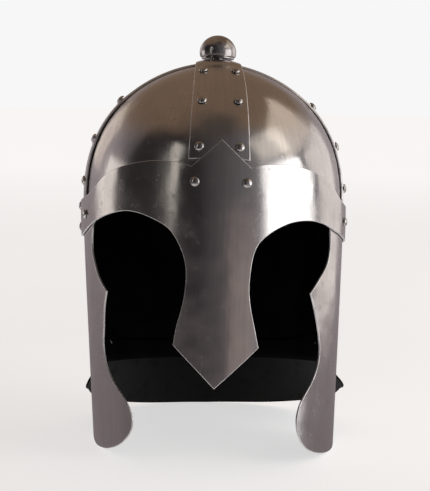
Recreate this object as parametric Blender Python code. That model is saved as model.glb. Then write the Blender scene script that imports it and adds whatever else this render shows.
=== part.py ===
"""A riveted steel helmet in the Norse style, standing by itself as it would on a table.

Every sheet piece is bent over one form, the crown's inner face. A piece is cut flat, as metres round the form
and height from the brow line, and then laid on the form at its own depth, so that sheets which lie on each
other keep one clearance all over. Metres and degrees, +Z up, and the face looks along -Y.
"""

from math import asin, atan2, ceil, cos, degrees, floor, hypot, pi, radians, sin, tan

import bmesh
import bpy
from mathutils import Matrix, Vector
from mathutils.geometry import delaunay_2d_cdt

# Sheet and clearances
SHEET = 0.0016
FIT = 0.0005

# The form: an ellipse at the brow line, a dome above it and a wall that draws in below it
HALF_WIDTH = 0.0998
HALF_LENGTH = 0.118
CROWN_HEIGHT = 0.1087
DOME_FULLNESS = 2.44
SHOULDER_FULLNESS = 1.8
WALL_TAPER = 0.049
TAPER_ONSET = 0.025

# The hand-built crown leans to one side against the cheek plates
CROWN_LEAN = 1.8

# Crown panels
PANEL_SEAM = 1.7
PANEL_TOP_HOLE = 0.007
FRONT_RIM_DROP = 0.0045
SIDE_RIM_DROP = 0.0255
RIM_FALLS_FROM = 50.0
RIM_FALLS_OVER = 26.0
NAPE_DROP = 0.128
NAPE_CORNER = 107.0

# Bands. The fore-and-aft one runs a little askew, by this share of the way from the crest
BAND_CREST_HALF = 0.0163
BAND_END_HALF = 0.0228
BAND_WIDENS_OVER = 75.0
BAND_FRONT_END = 0.029
BAND_REAR_END_MARGIN = 0.002
BAND_SIDE_END_DROP = 0.0105
BAND_SKEW = 0.014
JOGGLE_START = 0.009
JOGGLE_LENGTH = 0.013

# Face plate: brow, its point, the eye arches and the nasal
BROW_HEIGHT = 0.0268
POINT_HEIGHT = 0.0425
POINT_HALF_WIDTH = 0.0212
POINT_FOOT_SHARE = 0.86
BROW_END = 103.0
NASAL_HALF_WIDTH = 0.0317
NASAL_SHOULDER_DROP = 0.1095
NASAL_TIP_DROP = 0.140
PLATE_SEATED = (24.0, 36.0)
PLATE_RAISED = (14.0, 50.0)

# Height of the brow's upper edge as a share of BROW_HEIGHT, by degrees round from the front
BROW_EDGE = (
    # around, height
    (19.0, 0.97),
    (31.0, 1.00),
    (44.5, 0.85),
    (55.0, 0.61),
    (66.0, 0.19),
    (80.0, 0.00),
    (BROW_END, -0.06),
)

# Drop of the eye arches as a share of NASAL_SHOULDER_DROP. They were cut by hand, and differ
EYE_ARCH = (
    # around, left drop, right drop
    (BROW_END, 0.275, 0.270),
    (80.0, 0.250, 0.240),
    (62.0, 0.160, 0.188),
    (50.0, 0.110, 0.138),
    (40.0, 0.092, 0.122),
    (30.0, 0.130, 0.148),
    (20.5, 0.212, 0.226),
)

# The nasal's edge: half-width as a share of NASAL_HALF_WIDTH, drop as a share of NASAL_SHOULDER_DROP
NASAL_EDGE = (
    # half-width, left drop, right drop
    (0.82, 0.36, 0.335),
    (0.72, 0.50, 0.540),
    (0.76, 0.68, 0.700),
    (0.92, 0.87, 0.890),
    (1.00, 1.00, 0.985),
)

# Cheek plates: one outline, cut a little differently on each side
CHEEK_DROP = {"left": 0.1905, "right": 0.1944}
CHEEK_TOP_DROP = 0.005
CHEEK_REAR_TOP_DROP = 0.0145
CHEEK_STEP = 76.5
CHEEK_REAR = 101.0

# Front edge down to the cusp, then waist and rounded foot: drop as a share of CHEEK_DROP
CHEEK_EYE_EDGE = (
    # drop, left around, right around
    (0.100, 68.0, 58.0),
    (0.180, 69.7, 58.4),
    (0.250, 66.9, 55.8),
    (0.310, 62.5, 49.4),
    (0.360, 56.7, 43.8),
)
CHEEK_JAW_EDGE = (
    # drop, left around, right around
    (0.430, 59.2, 47.3),
    (0.520, 60.7, 50.9),
    (0.580, 61.6, 52.2),
    (0.645, 60.0, 51.2),
    (0.710, 55.4, 46.9),
    (0.780, 47.5, 40.2),
    (0.830, 43.3, 37.9),
    (0.870, 42.3, 37.7),
    (0.915, 43.4, 39.2),
    (0.960, 48.6, 43.4),
    (0.988, 56.0, 51.0),
    (1.000, 66.0, 63.0),
    (0.990, 80.0, 79.0),
    (0.945, 92.0, 91.0),
    (0.860, 99.0, 99.0),
    (0.780, CHEEK_REAR, CHEEK_REAR),
)

# Neck guard: tucked inside the nape, then flared, and a little wider on its right
GUARD_OVERLAP = 0.013
GUARD_END_RISE = 0.009
GUARD_END = 104.0
GUARD_HANG = 0.043
GUARD_END_HANG = 0.024
GUARD_CORNER = 0.008
GUARD_FLARE = 0.031
GUARD_END_FLARE = {"left": 0.0160, "right": 0.0238}
GUARD_FLARE_CURVE = 1.05

# Its edges: way to the end as a share of half the guard, and rise as a share of the rise to the end
GUARD_LOWER_EDGE = (
    # across, rise
    (0.00, 0.00),
    (0.35, 0.06),
    (0.70, 0.45),
)
GUARD_UPPER_EDGE = (
    # across, rise
    (1.00, 1.00),
    (0.80, 0.80),
    (0.60, 0.15),
    (0.00, 0.00),
)

# Ball finial: a slightly flattened ball on a collar, with the stem and washer that hold it in the crown
BALL_RADIUS = 0.0146
BALL_HALF_HEIGHT = 0.0137
BALL_CENTRE_RISE = 0.0054
COLLAR_RADIUS = 0.0131
COLLAR_HEIGHT = 0.0016
STEM_RADIUS = 0.004
WASHER_RADIUS = 0.010
WASHER_THICKNESS = 0.0015

# Rivets
RIVET_HEAD_RADIUS = 0.0037
RIVET_HEAD_HEIGHT = 0.0023
RIVET_SHANK_RADIUS = 0.0016

# The dome of a head, in shares of its radius and height
RIVET_DOME = (
    # radius, rise
    (0.80, 0.62),
    (0.40, 0.93),
)

# How far below the crest, or above the nape's edge, the outermost pairs stand
CREST_PAIR_DROP = 0.0109
NAPE_PAIR_RISE = 0.0085

# Pairs on the fore-and-aft band: height, and how far each stands from the middle
FRONT_PAIRS = (
    # height, half spacing
    (CROWN_HEIGHT - CREST_PAIR_DROP, 0.0120),
    (0.0725, 0.0131),
    (0.0380, 0.0145),
)
REAR_PAIRS = (
    # height, half spacing
    (CROWN_HEIGHT - CREST_PAIR_DROP, 0.0120),
    (0.048, 0.0148),
    (-0.010, 0.0165),
    (-0.066, 0.0165),
)
NAPE_PAIR = (NAPE_PAIR_RISE - NAPE_DROP, 0.0165)
BROW_PAIR = (0.012, 0.0181)
SIDE_PAIRS = (
    # height, half spacing
    (0.0765, 0.0120),
    (0.0466, 0.0140),
    (0.0143, 0.0155),
)
BROW_END_RIVETS = (
    # around, height
    (73.0, -0.0123),
    (97.0, -0.0050),
    (97.0, -0.0215),
)

# Degrees round to each guard rivet, and how far they stand above the nape's edge
GUARD_RIVETS = {"left": 118.5, "right": 112.0}
GUARD_RIVET_RISE = 0.0155

# Facets
PANEL_COLUMNS = 10
DOME_ROWS = 9
NAPE_ROWS = 4
BAND_COLUMNS = 4
BAND_STEP = 7.0
OUTLINE_STEP = 0.0068
GRID_AROUND = 0.0125
FACE_GRID_UP = 0.0115
CHEEK_GRID_UP = 0.026
GUARD_GRID_UP = 0.0125
GRID_MARGIN = 0.45
BALL_SIDES = 16
BALL_STEPS = 8
RIVET_SIDES = 8
RIVET_ROD_SIDES = 6
STEM_ROD_SIDES = 12
SHEET_CREASE = 35.0
TURNED_CREASE = 50.0

# How finely the places on the form are searched for, and how often the feet are set down anew
HALVINGS = 44
SET_DOWNS = 12

# Depths above the form of a sheet's inner face: on the panels, and over a sheet that lies on the panels
ON_PANELS = SHEET + FIT
OVER_SHEET = 2 * (SHEET + FIT)
INSIDE_PANELS = -(SHEET + FIT)

# Drops below the brow line of what the nape carries
GUARD_TOP_DROP = NAPE_DROP - GUARD_OVERLAP
GUARD_DROP = NAPE_DROP + GUARD_HANG
GUARD_END_DROP = NAPE_DROP + GUARD_END_HANG


def eased(share):
    """0 to 1 with level ends."""
    share = min(1.0, max(0.0, share))
    return share * share * (3 - 2 * share)


def radius_share(height):
    """The form's breadth at a height, as a share of its breadth at the brow line."""
    if height < 0:
        return 1 - WALL_TAPER * (hypot(height, TAPER_ONSET) - TAPER_ONSET) / HALF_WIDTH
    rise = min(1.0, height / CROWN_HEIGHT)
    return (1 - rise**DOME_FULLNESS) ** (1 / SHOULDER_FULLNESS)


def on_form(direction):
    """Where a ray from the middle of the brow line meets the form."""
    ray = direction.normalized()
    near, far = 0.0, 4 * (HALF_LENGTH + CROWN_HEIGHT)
    for _ in range(HALVINGS):
        middle = (near + far) / 2
        point = ray * middle
        breadth = hypot(point.x / HALF_WIDTH, point.y / HALF_LENGTH)
        if point.z < CROWN_HEIGHT and breadth < radius_share(point.z):
            near = middle
        else:
            far = middle
    return ray * near


def form_normal(point):
    """The way out of the form at a point on it."""
    breadth = max(1e-6, hypot(point.x / HALF_WIDTH, point.y / HALF_LENGTH))
    if point.z < 0:
        slope = WALL_TAPER / HALF_WIDTH * point.z / hypot(point.z, TAPER_ONSET)
    else:
        rise = min(0.99999, point.z / CROWN_HEIGHT)
        inner = 1 - rise**DOME_FULLNESS
        slope = (DOME_FULLNESS / SHOULDER_FULLNESS) * rise ** (DOME_FULLNESS - 1)
        slope *= max(1e-6, inner) ** (1 / SHOULDER_FULLNESS - 1) / CROWN_HEIGHT
    out = Vector((point.x / HALF_WIDTH**2 / breadth, point.y / HALF_LENGTH**2 / breadth, slope))
    return out.normalized()


def leaning(point, lean=1.0):
    """A point moved over the form with the crown's lean, or with a share of it."""
    return on_form(Matrix.Rotation(radians(CROWN_LEAN) * lean, 3, "Y") @ point)


def form_point(around, height, lean):
    """The form at radians round from the front and a height, under a share of the crown's lean."""
    share = radius_share(height)
    point = Vector((HALF_WIDTH * share * sin(around), -HALF_LENGTH * share * cos(around), height))
    return leaning(point, lean) if lean else point


def lifted(point, depth):
    """A point of the form moved out along its normal."""
    return point + form_normal(point) * depth


def steel(name, colour, roughness):
    """One plain metal finish."""
    material = bpy.data.materials.new(name)
    material.use_nodes = True
    shader = material.node_tree.nodes["Principled BSDF"]
    shader.inputs["Base Color"].default_value = (*colour, 1.0)
    shader.inputs["Metallic"].default_value = 1.0
    shader.inputs["Roughness"].default_value = roughness
    return material


def add_object(name, mesh, material, parent):
    """A named piece in the scene, with its material, under the empty that stands the helmet up."""
    if not mesh.materials:
        mesh.materials.append(material)
    piece = bpy.data.objects.new(name, mesh)
    bpy.context.scene.collection.objects.link(piece)
    piece.parent = parent
    return piece


def sheet_mesh(name, flat, faces, lay):
    """A closed sheet from a flat pattern: lay(u, v, rise) puts a flat point rise above the inner face."""
    mesh = bpy.data.meshes.new(name)
    shape = bmesh.new()
    inner = [shape.verts.new(lay(u, v, 0.0)) for u, v in flat]
    outer = [shape.verts.new(lay(u, v, SHEET)) for u, v in flat]
    edges = set()
    for face in faces:
        shape.faces.new([outer[i] for i in face])
        shape.faces.new([inner[i] for i in reversed(face)])
        edges.update(zip(face, (*face[1:], face[0])))
    for start, end in sorted(edges):
        if (end, start) not in edges:
            shape.faces.new((outer[end], outer[start], inner[start], inner[end]))
    shape.to_mesh(mesh)
    shape.free()
    mesh.shade_smooth()
    mesh.set_sharp_from_angle(angle=radians(SHEET_CREASE))
    return mesh


def grid(columns, rows):
    """Flat points in shares of both ways, and the faces between them."""
    flat = [(i / columns, j / rows) for j in range(rows + 1) for i in range(columns + 1)]
    across = columns + 1
    corners = [(i, j) for j in range(rows) for i in range(columns)]
    starts = [j * across + i for i, j in corners]
    return flat, [(start, start + 1, start + across + 1, start + across) for start in starts]


def smooth_run(points):
    """Points at an even step along a smooth curve through the given ones, without the last."""
    ends = [2 * points[0] - points[1], *points, 2 * points[-1] - points[-2]]
    run = []
    for before, start, end, after in zip(ends, ends[1:], ends[2:], ends[3:]):
        count = max(1, round((end - start).length / OUTLINE_STEP))
        for step in range(count):
            t = step / count
            bend = (2 * before - 5 * start + 4 * end - after) * t * t
            bend += (3 * start - before - 3 * end + after) * t**3
            run.append(start + 0.5 * ((end - before) * t + bend))
    return run


def outline_of(runs):
    """One closed outline from runs of points that meet at its corners."""
    return [point for run in runs for point in smooth_run(run)]


def within(point, outline, margin):
    """Whether a flat point is inside an outline, and clear of its edge."""
    inside = False
    for start, end in zip(outline, (*outline[1:], outline[0])):
        along = end - start
        share = max(0.0, min(1.0, (point - start).dot(along) / along.length_squared))
        if (point - start - along * share).length < margin:
            return False
        if (start.y > point.y) != (end.y > point.y):
            inside ^= point.x < start.x + along.x * (point.y - start.y) / along.y
    return inside


def cut_pattern(outline, grid_up, level=0.0):
    """A flat pattern of even triangles inside an outline, with a row of points at one level."""
    half = max(abs(point.x) for point in outline)
    low, high = (limit(point.y for point in outline) for limit in (min, max))
    columns = ceil(half / GRID_AROUND)
    inner = []
    for j in range(ceil((low - level) / grid_up), floor((high - level) / grid_up) + 1):
        for i in range(-columns, columns + 1):
            point = Vector(((i + 0.5 * (j % 2)) * GRID_AROUND, level + j * grid_up))
            if within(point, outline, GRID_MARGIN * GRID_AROUND):
                inner.append(point)
    made = delaunay_2d_cdt([*outline, *inner], [], [list(range(len(outline)))], 1, 1e-7)
    flat = [(point.x, point.y) for point in made[0]]
    faces = []
    for face in made[2]:
        a, b, c = (Vector(flat[i]) for i in face)
        turned = (b - a).cross(c - a) < 0
        faces.append(tuple(reversed(face)) if turned else tuple(face))
    return flat, faces


def bent_plate(name, outline, grid_up, depth, lean):
    """A plate cut to an outline of metres round the form and height, and bent over it at depth(around)."""

    def lay(u, v, rise):
        around = u / HALF_WIDTH
        return lifted(form_point(around, v, lean), depth(around) + rise)

    return sheet_mesh(name, *cut_pattern(outline, grid_up), lay)


def flat_point(degrees_round, height, side=1):
    """A point of a flat pattern: degrees round the form and height."""
    return Vector((side * radians(degrees_round) * HALF_WIDTH, height))


def front_rim(around):
    """Height of the front panels' lower edge: high over the eyes, and lower behind the brow's ends."""
    share = eased((degrees(around) - RIM_FALLS_FROM) / RIM_FALLS_OVER)
    return -(FRONT_RIM_DROP + (SIDE_RIM_DROP - FRONT_RIM_DROP) * share)


def panel_mesh(name, side, rear):
    """One quarter of the crown. A rear one runs on down to the nape, where its edge is level."""
    seam = radians(PANEL_SEAM)
    top = atan2(CROWN_HEIGHT, PANEL_TOP_HOLE)
    skirt_rows = NAPE_ROWS if rear else 0
    rows = DOME_ROWS + skirt_rows
    flat, faces = grid(PANEL_COLUMNS, rows)
    start, end = (pi / 2 + seam, pi - seam) if rear else (seam, pi / 2 - seam)

    def lay(u, v, rise):
        row = v * rows
        down = max(0.0, 1 - row / skirt_rows) if rear else 0.0
        front_edge = start + (radians(NAPE_CORNER) - start) * down
        around = front_edge + (end - front_edge) * (u if side > 0 else 1 - u)
        rim = -SIDE_RIM_DROP if rear else front_rim(around)
        if row <= skirt_rows:
            height = rim - (NAPE_DROP - SIDE_RIM_DROP) * down
            return lifted(form_point(side * around, height, 1 - down), rise)
        low = atan2(rim, HALF_LENGTH)
        angle = low + (top - low) * (row - skirt_rows) / DOME_ROWS
        ray = Vector((side * HALF_WIDTH * sin(around), -HALF_LENGTH * cos(around), 0))
        ray.z = ray.length * tan(angle)
        return lifted(leaning(ray), rise)

    return sheet_mesh(name, flat, faces, lay)


def band_half_width(angle):
    """Half the width of a band, by degrees along it from the horizon, 90 being the crest."""
    share = min(1.0, abs(angle - 90) / BAND_WIDENS_OVER)
    return BAND_CREST_HALF + (BAND_END_HALF - BAND_CREST_HALF) * share


def band_mesh(name, fore_aft, start, end):
    """A band over the crest between two angles above the horizon, with a row of facets on the crest."""
    before, after = (ceil(abs(90 - limit) / BAND_STEP) for limit in (start, end))
    angles = [start + (90 - start) * row / before for row in range(before)]
    angles += [90 + (end - 90) * row / after for row in range(after + 1)]
    rows = before + after
    flat, faces = grid(BAND_COLUMNS, rows)

    def lay(u, v, rise):
        angle = angles[round(v * rows)]
        offset = (2 * u - 1) * band_half_width(angle)
        run, up = cos(radians(angle)), sin(radians(angle))
        centre = on_form(Vector((0, -run, up)) if fore_aft else Vector((run, 0, up)))
        spread = Vector((offset + BAND_SKEW * centre.y, 0, 0)) if fore_aft else Vector((0, offset, 0))
        point = leaning(centre + spread)
        depth = ON_PANELS
        if fore_aft:
            from_crest = hypot(centre.x, centre.y) if up > 0 else HALF_LENGTH
            clear = BAND_CREST_HALF + JOGGLE_START
            depth += (OVER_SHEET - ON_PANELS) * eased(1 - (from_crest - clear) / JOGGLE_LENGTH)
        return lifted(point, depth + rise)

    return sheet_mesh(name, flat, faces, lay)


def horizon_angle(height, half_breadth):
    """Degrees above the horizon at which the form's middle line has a height."""
    return degrees(atan2(height, half_breadth * radius_share(height)))


def plate_depth(around):
    """The face plate stands over the band and the cheek plates, and lies on the panels between them."""
    degrees_round = degrees(abs(around))
    rise = eased((PLATE_SEATED[0] - degrees_round) / (PLATE_SEATED[0] - PLATE_RAISED[0]))
    rise += eased((degrees_round - PLATE_SEATED[1]) / (PLATE_RAISED[1] - PLATE_SEATED[1]))
    return ON_PANELS + (OVER_SHEET - ON_PANELS) * rise


def face_half(side, column):
    """One side of the face plate's outline, from its point over the brow and back by the eye to the tip."""
    foot = Vector((side * POINT_HALF_WIDTH, POINT_FOOT_SHARE * BROW_HEIGHT))
    brow = [foot] + [flat_point(around, share * BROW_HEIGHT, side) for around, share in BROW_EDGE]
    eye = [flat_point(row[0], -row[column] * NASAL_SHOULDER_DROP, side) for row in EYE_ARCH]
    for row in NASAL_EDGE:
        eye.append(Vector((side * row[0] * NASAL_HALF_WIDTH, -row[column] * NASAL_SHOULDER_DROP)))
    point = Vector((0, POINT_HEIGHT))
    tip = Vector((0, -NASAL_TIP_DROP))
    return [[point, foot], brow, [brow[-1], eye[0]], eye, [eye[-1], tip]]


def reversed_runs(runs):
    """The same runs of an outline, walked the other way."""
    return [list(reversed(run)) for run in reversed(runs)]


def face_mesh():
    """Brow plate and nasal, cut in one."""
    outline = outline_of(face_half(-1, 1) + reversed_runs(face_half(1, 2)))
    return bent_plate("face_plate", outline, FACE_GRID_UP, plate_depth, 1.0)


def cheek_mesh(name, side, column):
    """A cheek plate, its upper edge stepped down to clear the end of the transverse band."""
    drop = CHEEK_DROP[name]
    eye = [flat_point(row[column], -row[0] * drop, side) for row in CHEEK_EYE_EDGE]
    jaw = [eye[-1]] + [flat_point(row[column], -row[0] * drop, side) for row in CHEEK_JAW_EDGE]
    top = flat_point(CHEEK_EYE_EDGE[0][column], -CHEEK_TOP_DROP, side)
    step_top = flat_point(CHEEK_STEP - 1, -CHEEK_TOP_DROP, side)
    step_foot = flat_point(CHEEK_STEP - 1, -CHEEK_REAR_TOP_DROP, side)
    rear = flat_point(CHEEK_REAR, -CHEEK_REAR_TOP_DROP, side)
    runs = [[top, *eye], jaw, [jaw[-1], rear], [rear, step_foot], [step_foot, step_top], [step_top, top]]
    outline = outline_of(runs)
    return bent_plate(f"cheek_plate_{name}", outline, CHEEK_GRID_UP, lambda around: ON_PANELS, 0.0)


def guard_mesh():
    """The neck guard, as metres round the form each way from the middle of the back."""
    half = radians(180 - GUARD_END) * HALF_WIDTH
    end_rise = GUARD_DROP - GUARD_END_DROP
    lower = [Vector((across * half, rise * end_rise - GUARD_DROP)) for across, rise in GUARD_LOWER_EDGE]
    for turn in (-pi / 2, -pi / 4, 0):
        across = half - GUARD_CORNER * (1 - cos(turn))
        lower.append(Vector((across, GUARD_CORNER * (1 + sin(turn)) - GUARD_END_DROP)))
    upper = []
    for across, rise in GUARD_UPPER_EDGE:
        upper.append(Vector((across * half, rise * GUARD_END_RISE - GUARD_TOP_DROP)))
    flare_start = -(NAPE_DROP + FIT)
    end_seam = Vector((half, flare_start))
    right = [lower, [lower[-1], end_seam], [end_seam, upper[0]], upper]
    left = reversed_runs([[Vector((-point.x, point.y)) for point in run] for run in right])
    outline = outline_of(right + left)

    def lay(u, v, rise):
        around = pi + u / HALF_WIDTH
        share = abs(u) / half
        reach = flare_start + GUARD_DROP - end_rise * share
        down = max(0.0, (flare_start - v) / reach)
        end_flare = GUARD_END_FLARE["left" if u > 0 else "right"]
        flare = GUARD_FLARE + (end_flare - GUARD_FLARE) * eased(share)
        base = lifted(form_point(around, v, 0.0), INSIDE_PANELS)
        out = form_normal(base)
        level = Vector((out.x, out.y, 0)).normalized()
        spread = base + level * flare * down**GUARD_FLARE_CURVE
        slope = GUARD_FLARE_CURVE * flare * down ** (GUARD_FLARE_CURVE - 1) / reach if down > 0 else 0.0
        return spread + (level + Vector((0, 0, slope))).normalized() * rise

    return sheet_mesh("neck_guard", *cut_pattern(outline, GUARD_GRID_UP, flare_start), lay)


def turned_mesh(name, profile, sides):
    """A closed turned piece from (radius, height) points that start and end on the axis."""
    mesh = bpy.data.meshes.new(name)
    shape = bmesh.new()
    line = [shape.verts.new((radius, 0, height)) for radius, height in profile]
    edges = [shape.edges.new(pair) for pair in zip(line, line[1:])]
    bmesh.ops.spin(shape, geom=line + edges, axis=(0, 0, 1), angle=2 * pi, steps=sides, use_merge=True)
    bmesh.ops.remove_doubles(shape, verts=shape.verts, dist=1e-6)
    bmesh.ops.recalc_face_normals(shape, faces=shape.faces)
    shape.to_mesh(mesh)
    shape.free()
    mesh.shade_smooth()
    mesh.set_sharp_from_angle(angle=radians(TURNED_CREASE))
    return mesh


def finial_mesh():
    """Ball, collar, stem and washer in one, with the height 0 on the form."""
    seat = OVER_SHEET + SHEET + FIT
    centre = seat + BALL_CENTRE_RISE
    low = -asin((BALL_CENTRE_RISE - COLLAR_HEIGHT) / BALL_HALF_HEIGHT)
    angles = [low + (pi / 2 - low) * step / BALL_STEPS for step in range(BALL_STEPS)]
    ball = [(BALL_RADIUS * cos(angle), centre + BALL_HALF_HEIGHT * sin(angle)) for angle in angles]
    sag = CROWN_HEIGHT / DOME_FULLNESS * (WASHER_RADIUS / HALF_WIDTH) ** SHOULDER_FULLNESS
    washer = -sag - FIT
    profile = [
        (0, washer - WASHER_THICKNESS),
        (WASHER_RADIUS, washer - WASHER_THICKNESS),
        (WASHER_RADIUS, washer),
        (STEM_RADIUS, washer),
        (STEM_RADIUS, seat),
        (COLLAR_RADIUS, seat),
        (COLLAR_RADIUS, seat + COLLAR_HEIGHT),
        *ball,
        (0, centre + BALL_HALF_HEIGHT),
    ]
    return turned_mesh("finial", profile, BALL_SIDES)


def rivet_mesh(name, seat, tail):
    """A domed rivet whose head rests at one depth and whose shank ends at another, the form being at 0."""
    low = seat + FIT
    profile = [
        (0, tail),
        (RIVET_SHANK_RADIUS, tail),
        (RIVET_SHANK_RADIUS, low),
        (RIVET_HEAD_RADIUS, low),
        *[(radius * RIVET_HEAD_RADIUS, low + rise * RIVET_HEAD_HEIGHT) for radius, rise in RIVET_DOME],
        (0, low + RIVET_HEAD_HEIGHT),
    ]
    return turned_mesh(name, profile, RIVET_SIDES)


def rivet_places():
    """Every rivet: name, the point of the form under it, depth of its seat and depth of its tail."""
    places = []

    def strip_point(height, offset, fore_aft, sign):
        half = HALF_LENGTH if fore_aft else HALF_WIDTH
        run = sign * half * radius_share(height)
        point = Vector((run, offset, height))
        if fore_aft:
            point = Vector((offset + BAND_SKEW * run, run, height))
        return leaning(point)

    on_band = ON_PANELS + SHEET
    on_plate = OVER_SHEET + SHEET
    inner_end = -FIT
    for row, (height, half) in enumerate(FRONT_PAIRS):
        for side, sign in (("left", -1), ("right", 1)):
            point = strip_point(height, sign * half, True, -1)
            places.append((f"rivet_front_{row}_{side}", point, on_band, inner_end))
    for row, (height, half) in enumerate(REAR_PAIRS):
        for side, sign in (("left", -1), ("right", 1)):
            point = strip_point(height, sign * half, True, 1)
            places.append((f"rivet_rear_{row}_{side}", point, on_band, inner_end))
    for side, sign in (("left", -1), ("right", 1)):
        point = strip_point(NAPE_PAIR[0], sign * NAPE_PAIR[1], True, 1)
        places.append((f"rivet_nape_{side}", point, on_band, INSIDE_PANELS - FIT))
        point = form_point(sign * BROW_PAIR[1] / HALF_WIDTH, BROW_PAIR[0], 1.0)
        places.append((f"rivet_brow_{side}", point, on_plate, inner_end))
        for row, (height, half) in enumerate(SIDE_PAIRS):
            for end, shift in (("front", -half), ("rear", half)):
                point = strip_point(height, shift, False, sign)
                places.append((f"rivet_{side}_{row}_{end}", point, on_band, inner_end))
        for row, (around, height) in enumerate(BROW_END_RIVETS):
            point = form_point(sign * radians(around), height, 1.0)
            places.append((f"rivet_brow_end_{side}_{row}", point, on_plate, inner_end))
        point = form_point(sign * radians(GUARD_RIVETS[side]), GUARD_RIVET_RISE - NAPE_DROP, 0.0)
        places.append((f"rivet_guard_{side}", point, SHEET, INSIDE_PANELS - FIT))
    return places


def facing(point, out):
    """The placing of a turned piece at a point, its axis along a direction."""
    return Matrix.Translation(point) @ out.to_track_quat("Z", "Y").to_matrix().to_4x4()


def drill_mesh(places):
    """Every rivet hole and the stem's hole, as the rods that cut them."""
    mesh = bpy.data.meshes.new("drill")
    shape = bmesh.new()
    reach = OVER_SHEET + SHEET + abs(INSIDE_PANELS) + SHEET
    holes = []
    for _, point, _, _ in places:
        holes.append((point, form_normal(point), RIVET_SHANK_RADIUS + FIT, RIVET_ROD_SIDES))
    crest = leaning(Vector((0, 0, 1)))
    holes.append((crest, crest.normalized(), STEM_RADIUS + FIT, STEM_ROD_SIDES))
    for point, out, radius, sides in holes:
        # A rod of few sides is drawn round the shank, so that its flats clear it
        around = radius / cos(pi / sides)
        bmesh.ops.create_cone(
            shape,
            cap_ends=True,
            segments=sides,
            radius1=around,
            radius2=around,
            depth=2 * reach,
            matrix=facing(point, out),
        )
    shape.to_mesh(mesh)
    shape.free()
    return mesh


def stood_up(pieces):
    """The placing that stands the helmet on its two cheek plates and its neck guard, over the origin."""
    standing = ("cheek_plate_left", "cheek_plate_right", "neck_guard")
    feet = [[vertex.co.copy() for vertex in pieces[name].vertices] for name in standing]
    turn = Matrix.Identity(3)
    for _ in range(SET_DOWNS):
        turned = [[turn @ point for point in foot] for foot in feet]
        left, right, back = (min(points, key=lambda point: point.z) for points in turned)
        up = (right - left).cross(back - left).normalized()
        turn = up.rotation_difference(Vector((0, 0, 1))).to_matrix() @ turn
    points = [turn @ vertex.co for mesh in pieces.values() for vertex in mesh.vertices]
    lows = [min(point[axis] for point in points) for axis in range(3)]
    highs = [max(point[axis] for point in points) for axis in range(3)]
    shift = Vector((-(lows[0] + highs[0]) / 2, -(lows[1] + highs[1]) / 2, -lows[2]))
    return Matrix.Translation(shift) @ turn.to_4x4()


def build():
    """Builds every piece and stands the helmet up."""
    for old in list(bpy.data.objects):
        bpy.data.objects.remove(old)
    polished = steel("polished_steel", (0.56, 0.53, 0.50), 0.28)
    rivet_steel = steel("rivet_steel", (0.48, 0.45, 0.43), 0.32)
    stand = bpy.data.objects.new("stand_up", None)
    bpy.context.scene.collection.objects.link(stand)

    sheets = {}
    for side, sign in (("left", -1), ("right", 1)):
        for end in ("front", "rear"):
            name = f"crown_panel_{end}_{side}"
            sheets[name] = panel_mesh(name, sign, end == "rear")
    sheets["band_fore_aft"] = band_mesh(
        "band_fore_aft",
        True,
        horizon_angle(BAND_FRONT_END, HALF_LENGTH),
        180 - horizon_angle(BAND_REAR_END_MARGIN - NAPE_DROP, HALF_LENGTH),
    )
    side_end = horizon_angle(-BAND_SIDE_END_DROP, HALF_WIDTH)
    sheets["band_transverse"] = band_mesh("band_transverse", False, side_end, 180 - side_end)
    sheets["face_plate"] = face_mesh()
    sheets["cheek_plate_left"] = cheek_mesh("left", -1, 1)
    sheets["cheek_plate_right"] = cheek_mesh("right", 1, 2)
    sheets["neck_guard"] = guard_mesh()

    places = rivet_places()
    drill = add_object("drill", drill_mesh(places), rivet_steel, stand)
    drill.hide_render = True
    drill.display_type = "WIRE"
    for name, mesh in sheets.items():
        drilled = add_object(name, mesh, polished, stand).modifiers.new("drilled", "BOOLEAN")
        drilled.operation = "DIFFERENCE"
        drilled.solver = "EXACT"
        drilled.object = drill

    finial = add_object("finial", finial_mesh(), rivet_steel, stand)
    crest = leaning(Vector((0, 0, 1)))
    finial.matrix_local = facing(crest, crest)
    kinds = {}
    for name, point, seat, tail in places:
        if (seat, tail) not in kinds:
            kinds[seat, tail] = rivet_mesh(f"rivet_{len(kinds)}", seat, tail)
        rivet = add_object(name, kinds[seat, tail], rivet_steel, stand)
        rivet.matrix_local = facing(point, form_normal(point))
    stand.matrix_world = stood_up(sheets)


build()
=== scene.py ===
"""A riveted steel helmet in the Norse style, in polished steel, set in a studio.

The sheets are cut flat, given their thickness and soft rims, and bent over one form, as the
solids are. Everything is made upright, with the brow line level, and is then stood on the
floor the way the solids stand. Metres, with the face looking along -Y.
"""

import logging
from collections.abc import Callable
from dataclasses import dataclass, field
from enum import Enum
from functools import partial
from math import asin, atan2, ceil, cos, floor, pi, radians, sin
from random import Random

import bmesh
import bpy
import numpy as np
from mathutils import Matrix, Vector


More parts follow.
